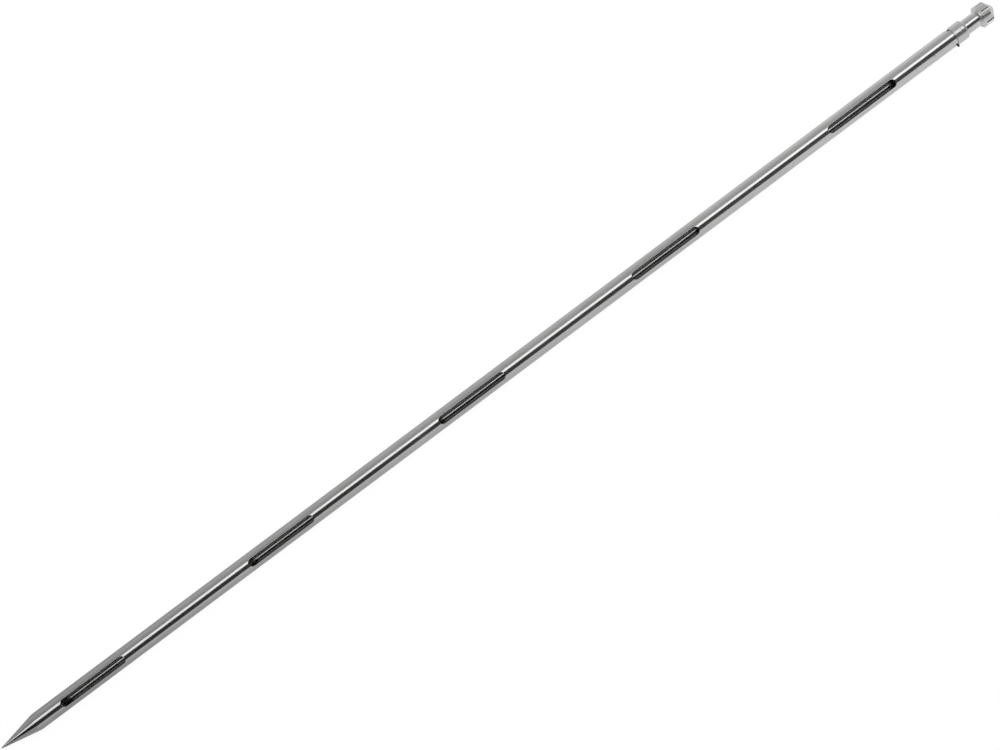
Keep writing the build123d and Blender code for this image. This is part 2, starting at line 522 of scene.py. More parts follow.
@dataclass(frozen=True)
class MetalFinish:
    """A bare or blackened metal surface.

    Attributes:
        name: the material's name.
        slot: the record's material slot that it stands for.
        colour: reflection colour.
        roughness: roughness of clean metal.
        run: direction of the finishing lines.
        line_depth: height of the finishing lines, in millimetres.
        drift: amount of warm and cool patches.
        marks: how much smudges dull the metal.
        metallic: 1 for bare metal.
    """

    name: str
    slot: str
    colour: tuple[float, float, float]
    roughness: float
    run: GrainRun
    line_depth: float = 0.004
    drift: float = 0.6
    marks: float = 0.08
    metallic: float = 1.0

    def material(self) -> bpy.types.Material:
        """Builds the material once.

        Returns:
            The new material, or the one already built.
        """
        if self.name in bpy.data.materials:
            return bpy.data.materials[self.name]
        made = bpy.data.materials.new(self.name)
        made.use_nodes = True
        made.diffuse_color = (*self.colour, 1.0)
        tree = made.node_tree
        tree.nodes.clear()
        out = add_node(tree, "ShaderNodeOutputMaterial")
        place = add_node(tree, "ShaderNodeTexCoord").outputs["Object"]
        grain = add_node(tree, "ShaderNodeGroup", node_tree=shared_group(metal_grain_group), in_Position=place)
        grain.inputs["Run"].default_value = self.run.value
        marks = add_node(tree, "ShaderNodeGroup", node_tree=shared_group(handling_marks_group), in_Position=place)
        drift = add_node(tree, "ShaderNodeGroup", node_tree=shared_group(tone_drift_group), in_Position=place,
                         in_Colour=(*self.colour, 1.0), in_Amount=self.drift)
        spread = add_node(tree, "ShaderNodeMapRange", in_Value=grain.outputs["Streaks"], in_1=0.3, in_2=0.7,
                          in_3=self.roughness * 0.82, in_4=self.roughness * 1.18)
        dulled = add_node(tree, "ShaderNodeMath", operation="MULTIPLY_ADD", in_0=marks.outputs["Smudges"],
                          in_1=self.marks, in_2=spread.outputs[0])
        rough = add_node(tree, "ShaderNodeMath", operation="MULTIPLY_ADD", in_0=marks.outputs["Scratches"],
                         in_1=0.12, in_2=dulled.outputs[0])
        relief = add_node(tree, "ShaderNodeMath", operation="MULTIPLY_ADD", in_0=marks.outputs["Scratches"],
                          in_1=-0.6, in_2=grain.outputs["Lines"])
        bump = add_node(tree, "ShaderNodeBump", in_Strength=1.0, in_Distance=self.line_depth * MM,
                        in_Height=relief.outputs[0])
        shader = add_node(tree, "ShaderNodeBsdfPrincipled", in_Base_Color=drift.outputs["Colour"],
                          in_Metallic=self.metallic, in_Roughness=rough.outputs[0], in_Normal=bump.outputs[0])
        tree.links.new(shader.outputs[0], out.inputs[0])
        return made

    def dress(self, piece: bpy.types.Object) -> None:
        """Gives a piece this finish, in place of any that it has.

        Args:
            piece: the piece.
        """
        if piece.material_slots:
            for place in piece.material_slots:
                place.material = self.material()
        else:
            piece.data.materials.append(self.material())


@dataclass(frozen=True)
class PlasticFinish:
    """Turned plastic rod with faint tool marks."""

    name: str = "turned_white_plastic"
    slot: str = "white_plastic"
    colour: tuple[float, float, float] = (0.80, 0.80, 0.77)
    roughness: float = 0.45

    def material(self) -> bpy.types.Material:
        """Builds the material once.

        Returns:
            The new material, or the one already built.
        """
        if self.name in bpy.data.materials:
            return bpy.data.materials[self.name]
        made = bpy.data.materials.new(self.name)
        made.use_nodes = True
        tree = made.node_tree
        tree.nodes.clear()
        out = add_node(tree, "ShaderNodeOutputMaterial")
        place = add_node(tree, "ShaderNodeTexCoord").outputs["Object"]
        grain = add_node(tree, "ShaderNodeGroup", node_tree=shared_group(metal_grain_group), in_Position=place)
        grain.inputs["Run"].default_value = GrainRun.TURNED.value
        drift = add_node(tree, "ShaderNodeGroup", node_tree=shared_group(tone_drift_group), in_Position=place,
                         in_Colour=(*self.colour, 1.0), in_Amount=0.4)
        bump = add_node(tree, "ShaderNodeBump", in_Strength=1.0, in_Distance=0.00001, in_Height=grain.outputs["Lines"])
        shader = add_node(tree, "ShaderNodeBsdfPrincipled", in_Base_Color=drift.outputs["Colour"],
                          in_Roughness=self.roughness, in_Normal=bump.outputs[0])
        tree.links.new(shader.outputs[0], out.inputs[0])
        return made

    def dress(self, piece: bpy.types.Object) -> None:
        """Gives a piece this finish, in place of any that it has.

        Args:
            piece: the piece.
        """
        if piece.material_slots:
            for place in piece.material_slots:
                place.material = self.material()
        else:
            piece.data.materials.append(self.material())


def shared_group(make: Callable[[], bpy.types.NodeTree]) -> bpy.types.NodeTree:
    """Returns the group that a function makes, made once."""
    name = make.__name__.removesuffix("_group")
    return bpy.data.node_groups.get(name) or make()


POLISHED_TUBE = MetalFinish("polished_tube_steel", "outer_steel", (0.64, 0.64, 0.635), 0.14, GrainRun.LENGTHWISE,
                            0.0012)
POLISHED_POINT = MetalFinish("polished_point_steel", "outer_steel", (0.64, 0.64, 0.635), 0.14, GrainRun.TURNED,
                             0.0008)
DRAWN_TUBE = MetalFinish("drawn_tube_steel", "inner_steel", (0.52, 0.52, 0.515), 0.17, GrainRun.LENGTHWISE, 0.001)
SATIN_HEAD = MetalFinish("satin_head_steel", "head_steel", (0.64, 0.64, 0.635), 0.3, GrainRun.TURNED, 0.0015)
TURNED_HEAD = MetalFinish("polished_head_steel", "head_steel", (0.64, 0.64, 0.635), 0.14, GrainRun.TURNED, 0.0008)
TURNED_PLUG = MetalFinish("turned_plug_steel", "plug_steel", (0.58, 0.58, 0.57), 0.35, GrainRun.TURNED, 0.006)
GROUND_PIN = MetalFinish("ground_pin_steel", "pin_steel", (0.60, 0.60, 0.59), 0.22, GrainRun.NONE, 0.002)
DARK_PIN = MetalFinish("blackened_pin", "dark_pin", (0.05, 0.048, 0.045), 0.38, GrainRun.NONE, 0.004, 0.8, 0.2, 0.6)
WHITE_PLASTIC = PlasticFinish()


# ---------------------------------------------------------------------------------------------------------------------
# Pieces


def hand_over(piece: bpy.types.Object, body: str, finish: MetalFinish | PlasticFinish, *nodes: str) -> None:
    """Dresses a piece, lets it ride on a body and stand for CAD nodes, and logs it.

    Args:
        piece: the piece.
        body: the CAD body that carries it.
        finish: its surface.
        *nodes: the CAD nodes that it stands for.
    """
    finish.dress(piece)
    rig.ride(piece, body)
    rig.replaces(piece, *nodes)
    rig.slot(piece, finish.slot)
    log.info("%s on %s: %d faces, %s", piece.name, body, len(piece.data.polygons), finish.name)


@dataclass
class SlottedTube:
    """A round tube with a row of slots, meshed so that its faces follow the slots' outlines.

    Attributes:
        line: the probe's axis.
        name: the piece's name.
        outer: outer radius.
        bore: inner radius.
        start: station of its lower end.
        end: station of its upper end.
        edge: width of the broken edges.
    """

    line: ProbeLine
    name: str
    outer: float
    bore: float
    start: float
    end: float
    edge: float = 0.18
    band: float = 9.3
    frame_reach: float = 4.0
    front_steps: int = 24
    back_steps: int = 96
    side_steps: int = 26
    corner_steps: int = 4
    draft: MeshDraft = field(init=False)

    def __post_init__(self) -> None:
        """Starts the draft."""
        self.draft = MeshDraft(self.line)

    def columns(self, radius: float) -> list[float]:
        """Angles of the plain stretches' columns.

        Args:
            radius: the skin's radius.

        Returns:
            An even band round the slots, then the even back, in radians.
        """
        half = asin(self.band / radius)
        front = spaced(-half, half, self.front_steps)
        return front + spaced(half, 2 * pi - half, self.back_steps)[1:-1]

    def slot_outline(self, grow: float) -> list[tuple[float, float]]:
        """Outline of a slot, going once round it.

        Args:
            grow: how far it stands outside the cut.

        Returns:
            Points as (along, across) from the slot's centre.
        """
        s = self.line.sizes
        half = s.slot_half_length - s.slot_half_width
        reach = s.slot_half_width + grow
        turns = self.front_steps + 2 * self.corner_steps
        side = spaced(-half, half, self.side_steps)
        points = [(x, reach) for x in side]
        points += [(half + reach * sin(a), reach * cos(a)) for a in spaced(0, pi, turns)[1:]]
        points += [(-x, -reach) for x in side[1:]]
        points += [(-half - reach * sin(a), -reach * cos(a)) for a in spaced(0, pi, turns)[1:-1]]
        return points

    def slot_frame(self, radius: float) -> list[tuple[float, float]]:
        """Rectangle round a slot, on the tube's own columns and point for point with slot_outline.

        Args:
            radius: the skin's radius.

        Returns:
            Points as (along, across) from the slot's centre.
        """
        s = self.line.sizes
        half, reach = s.slot_half_length - s.slot_half_width, s.slot_half_length + self.frame_reach
        turn = asin(self.band / radius)
        side = spaced(-half, half, self.side_steps)
        corner = spaced(half, reach, self.corner_steps)
        across = [radius * sin(a) for a in spaced(turn, -turn, self.front_steps)]
        points = [(x, self.band) for x in side]
        points += [(x, self.band) for x in corner[1:]]
        points += [(reach, y) for y in across[1:]]
        points += [(x, -self.band) for x in reversed(corner[:-1])]
        points += [(-x, -self.band) for x in side[1:]]
        points += [(-x, -self.band) for x in corner[1:]]
        points += [(-reach, -y) for y in across[1:]]
        points += [(-x, self.band) for x in reversed(corner[1:-1])]
        return points

    def slot_stations(self) -> list[float]:
        """Stations of the rows beside a slot.

        Returns:
            Distances from the slot's centre, in order.
        """
        s = self.line.sizes
        half, reach = s.slot_half_length - s.slot_half_width, s.slot_half_length + self.frame_reach
        corner = spaced(half, reach, self.corner_steps)
        return [-x for x in reversed(corner[1:])] + spaced(-half, half, self.side_steps) + corner[1:]

    def skin(self, radius: float, last: float) -> None:
        """Meshes one skin of the tube, outside or bore.

        Args:
            radius: the skin's radius.
            last: station at which the plain stretch ends.
        """
        s, draft = self.line.sizes, self.draft
        columns = self.columns(radius)
        reach = s.slot_half_length + self.frame_reach
        at = self.start
        for centre in s.slot_centres:
            self.plain_stretch(radius, columns, at, centre - reach)
            outline, frame_line = self.slot_outline(self.edge), self.slot_frame(radius)
            close = self.slot_outline(self.edge + 0.15)
            rings = [outline, close]
            for share in (0.12, 0.3, 0.6, 1.0):
                rings.append([(a[0] + (b[0] - a[0]) * share, a[1] + (b[1] - a[1]) * share)
                              for a, b in zip(close, frame_line)])
            draft.bridge([draft.row((centre + x, radius, asin(y / radius)) for x, y in ring) for ring in rings])
            back = columns[self.front_steps:] + [2 * pi + columns[0]]
            draft.bridge([draft.row((centre + x, radius, a) for a in back) for x in self.slot_stations()], False)
            at = centre + reach
        self.plain_stretch(radius, columns, at, last)

    def plain_stretch(self, radius: float, columns: Sequence[float], start: float, end: float) -> None:
        """Meshes a stretch with no slot."""
        steps = max(1, ceil((end - start) / 9.0))
        self.draft.bridge([self.draft.row((x, radius, a) for a in columns) for x in spaced(start, end, steps)])

    def slot_walls(self) -> None:
        """Meshes the walls of every slot, with broken edges."""
        e = self.edge
        levels = [(e, self.outer), (0.3 * e, self.outer - 0.3 * e), (0.0, self.outer - e),
                  (0.0, self.bore + e), (0.3 * e, self.bore + 0.3 * e), (e, self.bore)]
        for centre in self.line.sizes.slot_centres:
            rows = [self.draft.row((centre + x, radius, asin(y / radius)) for x, y in self.slot_outline(grow))
                    for grow, radius in levels]
            self.draft.bridge(rows)

    def plain_end(self, station: float) -> None:
        """Closes a plain end between the two skins.

        Args:
            station: where the end stands.
        """
        rows = [self.draft.row((station, radius, a) for a in self.columns(radius))
                for radius in (self.outer, self.bore)]
        self.draft.bridge(rows)

    def build(self) -> bpy.types.Object:
        """Meshes the whole tube.

        Returns:
            The finished tube.
        """
        self.skin(self.outer, self.end)
        self.skin(self.bore, self.end)
        self.slot_walls()
        self.plain_end(self.start)
        self.plain_end(self.end)
        return self.draft.piece(self.name)


@dataclass
class OuterTube(SlottedTube):
    """The outer tube, whose upper rim has the window in which the stop pin swings."""

    rim_patch: float = 12.0
    wall_steps: int = 3
    turn_steps: int = 7

    def rim_line(self, radius: float, grow: float) -> list[tuple[float, float]]:
        """The rim's edge as (station, angle), point for point with the columns.

        Args:
            radius: radius at which it is drawn.
            grow: how far it stands back from the cut.

        Returns:
            The land at the slots' side, then down, along and up the window.
        """
        s = self.line.sizes
        reach = s.notch_radius + grow
        first, last = radians(s.stop_angle), radians(s.stop_angle + s.window_sweep)
        turn = asin(reach / radius)
        land = [(s.rim - grow, a) for a in spaced(last + turn - 2 * pi, first - turn, self.front_steps)]
        down = [(x, first - turn) for x in spaced(s.rim - grow, s.stop_at, self.wall_steps)[1:]]
        bend = [(s.stop_at - reach * sin(a), first - asin(reach * cos(a) / radius))
                for a in spaced(0, pi / 2, self.turn_steps)[1:]]
        floor_steps = self.back_steps - 2 * (self.wall_steps + self.turn_steps)
        floor_line = [(s.stop_at - reach, a) for a in spaced(first, last, floor_steps)[1:]]
        bend_up = [(s.stop_at - reach * cos(a), last + asin(reach * sin(a) / radius))
                   for a in spaced(0, pi / 2, self.turn_steps)[1:]]
        up = [(x, last + turn) for x in spaced(s.stop_at, s.rim - grow, self.wall_steps)[1:-1]]
        return land + down + bend + floor_line + bend_up + up

    def eased(self, radius: float, station: float) -> float:
        """Eases the outside near the rim, over the window's depth.

        Args:
            radius: the skin's plain radius.
            station: where along the probe.

        Returns:
            The radius there; the bore's stays as it is.
        """
        s = self.line.sizes
        share = max(0.0, (station - s.window_start) / (s.rim - s.window_start))
        return radius - s.rim_ease * share if radius > self.bore + 0.7 else radius

    def rim_skin(self, radius: float) -> None:
        """Meshes a skin from the last plain row to the rim's edge.

        Args:
            radius: the skin's radius.
        """
        columns = self.columns(radius)
        start = self.end - self.rim_patch
        edge = self.rim_line(radius, self.edge)
        rows = []
        for share in (0.0, 0.3, 0.55, 0.75, 0.9, 0.97, 1.0):
            places = []
            for column, (station, angle) in zip(columns, edge):
                x = start + (station - start) * share
                places.append((x, self.eased(radius, x), column + (angle - column) * share))
            rows.append(self.draft.row(places))
        self.draft.bridge(rows)

    def rim_wall(self) -> None:
        """Meshes the rim's face and the window's walls, with broken edges."""
        e = self.edge
        levels = [(e, self.outer, 0.0), (0.3 * e, self.outer, 0.3 * e), (0.0, self.outer, e),
                  (0.0, self.bore, -e), (0.3 * e, self.bore, -0.3 * e), (e, self.bore, 0.0)]
        rows = []
        for grow, radius, depth in levels:
            rows.append(self.draft.row((x, self.eased(radius, x) - depth, a)
                                       for x, a in self.rim_line(radius, grow)))
        self.draft.bridge(rows)

    def build(self) -> bpy.types.Object:
        """Meshes the tube with its slots, its rim and its window.

        Returns:
            The finished tube.
        """
        for radius in (self.outer, self.bore):
            self.skin(radius, self.end - self.rim_patch)
            self.rim_skin(radius)
        self.slot_walls()
        self.plain_end(self.start)
        self.rim_wall()
        return self.draft.piece(self.name)


@dataclass
class PointedTip:
    """The turned point: a rounded nose, a straight cone and a long blend into the tube."""

    line: ProbeLine
    nose_radius: float = 0.8
    blend_radius: float = 30.0
    pivot_radius: float = 6.0
    pivot_depth: float = 12.0
    columns: int = 128

    def outline(self) -> list[tuple[float, float]]:
        """Outline of the outside from the nose to the tube.

        Returns:
            Points as (station, radius).
        """
        s = self.line.sizes
        run, drop = s.cone_length - self.nose_radius, self.blend_radius - s.tube_radius
        slope = asin((self.blend_radius - self.nose_radius) / hypot(run, drop)) - atan2(drop, run)
        nose = [(self.nose_radius - self.nose_radius * cos(a), self.nose_radius * sin(a))
                for a in spaced(0, pi / 2 - slope, 10)]
        blend = [(s.cone_length - self.blend_radius * sin(a),
                  s.tube_radius - self.blend_radius * (1 - cos(a))) for a in spaced(slope, 0, 12)]
        parts = 24
        cone = [(nose[-1][0] + (blend[0][0] - nose[-1][0]) * k / parts,
                 nose[-1][1] + (blend[0][1] - nose[-1][1]) * k / parts) for k in range(1, parts)]
        return nose + cone + blend

    def build(self) -> bpy.types.Object:
        """Meshes the point with its spigot and its pivot bore.

        Returns:
            The finished point.
        """
        s = self.line.sizes
        hidden = turned_outline([
            Corner(s.cone_length, s.tube_radius), Corner(s.cone_length, s.tube_bore),
            Corner(s.spigot_end, s.tube_bore, 0.3), Corner(s.spigot_end, self.pivot_radius, 0.3),
            Corner(s.spigot_end - self.pivot_depth, self.pivot_radius), Corner(s.spigot_end - self.pivot_depth, 0.0),
        ])
        draft = MeshDraft(self.line)
        angles = [2 * pi * k / self.columns for k in range(self.columns)]
        draft.bridge([draft.row((x, r, a) for a in angles) for x, r in self.outline() + hidden[1:]])
        return draft.piece("point")


@dataclass
class GuidePin:
    """Low pin let into the outer tube, polished to a slight dome that follows the tube."""

    line: ProbeLine
    radius: float = 2.0
    crown: float = 0.2
    point_radius: float = 1.25
    point_reach: float = 9.7

    def build(self) -> bpy.types.Object:
        """Meshes the pin from its point in the groove to its crown.

        Returns:
            The finished pin.
        """
        s, draft = self.line.sizes, MeshDraft(self.line)
        angles = [2 * pi * k / 48 for k in range(48)]
        rows = []
        for reach, width in ((self.point_reach, 0.0), (self.point_reach, self.point_radius),
                             (s.tube_bore + 0.05, self.point_radius), (s.tube_bore + 0.05, self.radius)):
            rows.append(self.ring(draft, angles, reach, width))
        for share in (1.0, 0.98, 0.93, 0.85, 0.72, 0.55, 0.35, 0.15, 0.0):
            lift = self.crown * (1 - share**2) - (0.03 if share == 1.0 else 0.0)
            rows.append(self.ring(draft, angles, s.tube_radius + lift, self.radius * share))
        draft.bridge(rows)
        return draft.piece("guide_pin_dome")

    def ring(self, draft: MeshDraft, angles: Sequence[float], reach: float, width: float) -> list[int]:
        """Adds a ring round the pin's own axis, bent to the tube's curve.

        Args:
            draft: the draft that takes it.
            angles: angles round the pin's axis.
            reach: the probe's radius at which the ring lies.
            width: the ring's own radius.

        Returns:
            The indices of its points.
        """
        s = self.line.sizes
        return draft.row((s.guide_at + width * cos(a), reach,
                          radians(s.guide_angle) + asin(min(1.0, width * sin(a) / reach))) for a in angles)


@dataclass
class DarkPin:
    """A blackened pin at the rim: the one that swings in the window, or the one that closes its far end.

    Attributes:
        line: the probe's axis.
        name: the piece's name.
        angle: where it stands round the probe, in degrees.
        radius: its radius.
        root: distance of its root from the axis.
        top: distance of its end from the axis.
        break_width: width of the break round its end.
    """

    line: ProbeLine
    name: str
    angle: float
    radius: float
    root: float
    top: float
    break_width: float = 0.5

    def build(self) -> bpy.types.Object:
        """Meshes the pin about its own axis.

        Returns:
            The finished pin.
        """
        s, draft, top = self.line.sizes, MeshDraft(self.line), self.top
        outline = turned_outline([
            Corner(self.root, 0.0), Corner(self.root, self.radius),
            Corner(top - self.break_width, self.radius, 0.25), Corner(top, self.radius - self.break_width, 0.25),
            Corner(top, 0.0),
        ], longest=1.5)
        out = self.line.outward(radians(self.angle))
        across = self.line.along.cross(out)
        base = self.line.point + self.line.along * s.stop_at
        rows = []
        for reach, width in outline:
            rows.append(draft.free_row((base + out * reach + (self.line.along * cos(a) + across * sin(a)) * width) * MM
                                       for a in (2 * pi * k / 40 for k in range(40))))
        draft.bridge(rows)
        return draft.piece(self.name)


@dataclass
class TurningHead:
    """Stub, grooved spigot, collar, neck and fluted knob, turned in one piece.

    Attributes:
        line: the probe's axis.
        collar_at: station of the collar's lower face, just clear of the rim.
        flute_count: number of flutes, the first straight up.
        cutter_radius: radius of the ball-nosed cutter that made them.
        cutter_rise: how far its centre runs outside the knob's radius.
        edge: radius of the polished edges.
    """

    line: ProbeLine
    stub_start: float = 1475.85
    groove_half: float = 1.55
    groove_radius: float = 9.4
    collar_at: float = 1562.3
    collar_radius: float = 13.0
    collar_bevel: float = 2.6
    neck_at: float = 1580.9
    neck_radius: float = 10.1
    knob_at: float = 1600.5
    knob_bevel: float = 1.5
    land_end: float = 1615.7
    shoulder: float = 1.2
    nose_radius: float = 8.0
    flute_count: int = 6
    cutter_radius: float = 5.2
    cutter_rise: float = 1.4
    setback: float = 2.8
    edge: float = 0.3
    inside: tuple[float, ...] = (0.0, 0.2, 0.38, 0.55, 0.7, 0.83, 0.92, 0.975, 1.0)
    outside: tuple[float, ...] = (0.02, 0.06, 0.14, 0.28, 0.5, 0.75)

    @property
    def cutter_at(self) -> float:
        """Distance of the cutter's centre from the axis."""
        return self.line.sizes.knob_radius + self.cutter_rise

    @property
    def full_opening(self) -> float:
        """A flute's half opening on the land, in radians."""
        k, c = self.line.sizes.knob_radius, self.cutter_at
        return acos((k * k + c * c - self.cutter_radius**2) / (2 * k * c))

    @property
    def flute_end(self) -> float:
        """Station from which the flutes have their full depth."""
        return self.knob_at + self.setback + self.line.sizes.knob_radius * sin(self.full_opening)

    def cutter_width(self, station: float) -> float:
        """Radius of the cut.

        Args:
            station: where along the probe.

        Returns:
            The cutter's radius there, 0 below the flutes.
        """
        below = self.flute_end - station
        if below <= 0:
            return self.cutter_radius
        return sqrt(max(0.0, self.cutter_radius**2 - below**2))

    def opening(self, station: float, radius: float) -> float:
        """Half opening of a flute.

        Args:
            station: where along the probe.
            radius: the turned radius there.

        Returns:
            The angle in radians, 0 where there is no flute.
        """
        width, c = self.cutter_width(station), self.cutter_at
        if radius + width <= c or width <= 0 or radius <= 0:
            return 0.0
        return acos(min(1.0, (radius * radius + c * c - width * width) / (2 * radius * c)))

    def cut_radius(self, station: float, radius: float, turn: float) -> float:
        """Radius of the fluted knob.

        Args:
            station: where along the probe.
            radius: the turned radius there.
            turn: angle from the flute's middle, in radians.

        Returns:
            The lesser of the turned radius and the flute's floor, with the edge between them rounded.
        """
        width, c = self.cutter_width(station), self.cutter_at
        aside = c * sin(turn)
        if abs(aside) >= width:
            return radius
        floor = c * cos(turn) - sqrt(width * width - aside * aside)
        blend = 0.12
        near = max(blend - abs(radius - floor), 0.0) / blend
        return max(0.0, min(radius, floor) - near * near * blend / 4)

    def outline(self) -> list[tuple[float, float]]:
        """Outline of the whole head from its stub to the top of its dome.

        Returns:
            Points as (station, radius).
        """
        s, e = self.line.sizes, self.edge
        shoulder_at, shoulder_r = self.land_end + self.shoulder, s.knob_radius - self.shoulder
        to_shoulder = self.nose_radius - (s.probe_length - shoulder_at)
        slope = atan2(shoulder_r, to_shoulder) - acos(self.nose_radius / hypot(to_shoulder, shoulder_r))
        centre = s.probe_length - self.nose_radius
        touch = (centre + self.nose_radius * cos(slope), self.nose_radius * sin(slope))
        groove_low, groove_high = s.guide_at - self.groove_half, s.guide_at + self.groove_half
        shaft = turned_outline([
            Corner(self.stub_start, 0.0), Corner(self.stub_start, s.inner_bore, 0.3),
            Corner(s.inner_end, s.inner_bore), Corner(s.inner_end, s.spigot_radius, 0.2),
            Corner(groove_low, s.spigot_radius, 0.15), Corner(groove_low, self.groove_radius),
            Corner(groove_high, self.groove_radius), Corner(groove_high, s.spigot_radius, 0.15),
            Corner(self.collar_at, s.spigot_radius, 0.1), Corner(self.collar_at, self.collar_radius, 0.25),
            Corner(self.neck_at - self.collar_bevel, self.collar_radius, 0.5),
            Corner(self.neck_at, self.collar_radius - self.collar_bevel, 0.2),
            Corner(self.neck_at, self.neck_radius, 0.15), Corner(self.knob_at, self.neck_radius, 0.5),
            Corner(self.knob_at, s.knob_radius - self.knob_bevel, e), Corner(s.land_start, s.knob_radius, e),
            Corner(self.flute_end - 5.05, s.knob_radius),
        ], longest=3.0)
        rise = sqrt(self.cutter_radius**2 - self.cutter_rise**2)
        bowl = [(self.flute_end - rise * cos(a), s.knob_radius) for a in spaced(0, pi / 2, 16)]
        knob = turned_outline([
            Corner(bowl[-1][0], s.knob_radius), Corner(self.land_end, s.knob_radius, 0.4),
            Corner(shoulder_at, shoulder_r, 0.5), Corner(*touch),
        ], longest=0.45)
        nose = [(centre + self.nose_radius * cos(a), self.nose_radius * sin(a)) for a in spaced(slope, 0, 9)]
        return shaft + bowl + knob[1:] + nose[1:]

    def row_angles(self, half: float) -> list[tuple[float, float]]:
        """Angles of a row's columns.

        Args:
            half: half opening that the inner columns fill.

        Returns:
            Pairs of (angle from the slots, turn from the nearest flute's middle).
        """
        pitch = pi / self.flute_count
        turns = [-(half + (pitch - half) * g) for g in reversed(self.outside)]
        turns += [-half * f for f in reversed(self.inside[1:])] + [half * f for f in self.inside]
        turns += [half + (pitch - half) * g for g in self.outside] + [pitch]
        first = -radians(self.line.sizes.slot_lean)
        return [(first + 2 * pitch * k + t, t) for k in range(self.flute_count) for t in turns]

    def build(self) -> bpy.types.Object:
        """Meshes the head in one grid whose columns follow the edges of the flutes.

        Returns:
            The finished head.
        """
        draft = MeshDraft(self.line)
        rows = []
        start = self.flute_end - sqrt(self.cutter_radius**2 - self.cutter_rise**2)
        for station, radius in self.outline():
            opening = self.opening(station, radius)
            plain = self.full_opening
            if start - 1.2 < station <= self.flute_end:
                plain = self.full_opening * max(0.12, min(1.0, (start - station) / 1.2))
            half = max(opening, plain if opening <= 0 else 0.12 * self.full_opening)
            rows.append(draft.row((station, self.cut_radius(station, radius, turn), angle)
                                  for angle, turn in self.row_angles(half)))
        draft.bridge(rows)
        return draft.piece("fluted_head", 32.0)

    def satin_zones(self, piece: bpy.types.Object) -> None:
        """Gives the collar and the knob their satin finish, which leaves the rest of the head polished.

        Args:
            piece: the head, already dressed in its polished finish.
        """
        piece.data.materials.append(SATIN_HEAD.material())
        slack = 0.01
        for face in piece.data.polygons:
            station = self.line.station(face.center)
            on_collar = self.collar_at - slack < station < self.neck_at + slack
            if on_collar or station > self.knob_at - slack:
                face.material_index = 1


# ---------------------------------------------------------------------------------------------------------------------
# Studio


@dataclass(frozen=True)
class Card:
    """A long board that glows beside the probe, given by where it stands round the axis.

    Attributes:
        name: the object's name.
        start: angle of its first edge from straight up towards the slots' side, in degrees.
        end: angle of its second edge.
        distance: its distance from the axis, in metres.
        length: its length along the probe, in metres.
        level: its brightness at its middle, where 1 is white.
        slope: share by which it gets brighter for each metre towards the head.
        lean: share by which its first edge is brighter than its middle.
    """

    name: str
    start: float
    end: float
    distance: float
    length: float
    level: float
    slope: float = 0.0
    lean: float = 0.0

    def place(self) -> Matrix:
        """Stands it with its face towards the axis and its length along the probe.

        Returns:
            Its place in the world.
        """
        turn = radians((self.start + self.end) / 2)
        out = Vector((0.0, -sin(turn), cos(turn)))
        side = Vector((1.0, 0.0, 0.0)).cross(out)
        seat = Matrix((Vector((1.0, 0.0, 0.0)), side, out)).transposed().to_4x4()
        seat.translation = out * self.distance + Vector((0.0, 0.0, 0.014))
        return seat

    @property
    def width(self) -> float:
        """Its width in metres."""
        return 2 * self.distance * tan(radians(abs(self.end - self.start) / 2))

    def board(self) -> None:
        """Stands it as a board that only the reflections and the light see."""
        mesh = bpy.data.meshes.new(self.name)
        x, y = self.length / 2, self.width / 2
        mesh.from_pydata([(-x, -y, 0), (x, -y, 0), (x, y, 0), (-x, y, 0)], [], [(0, 1, 2, 3)])
        board = bpy.data.objects.new(self.name, mesh)
        bpy.context.scene.collection.objects.link(board)
        board.matrix_world = self.place()
        made = bpy.data.materials.new(f"{self.name}_face")
        made.use_nodes = True
        tree = made.node_tree
        tree.nodes.clear()
        out = add_node(tree, "ShaderNodeOutputMaterial")
        place = add_node(tree, "ShaderNodeTexCoord").outputs["Object"]
        split = add_node(tree, "ShaderNodeSeparateXYZ", in_0=place)
        across = add_node(tree, "ShaderNodeMath", operation="MULTIPLY_ADD", in_0=split.outputs[1],
                          in_1=-2 * self.lean * self.level / self.width, in_2=self.level)
        level = add_node(tree, "ShaderNodeMath", operation="MULTIPLY_ADD", in_0=split.outputs[0],
                         in_1=self.slope * self.level, in_2=across.outputs[0])
        lit = add_node(tree, "ShaderNodeMath", operation="MAXIMUM", in_0=level.outputs[0], in_1=0.0)
        glow = add_node(tree, "ShaderNodeEmission", in_Color=(1.0, 1.0, 1.0, 1.0), in_Strength=lit.outputs[0])
        tree.links.new(glow.outputs[0], out.inputs[0])
        mesh.materials.append(made)
        board.visible_camera = False
        board.visible_shadow = False
        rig.stage(board)


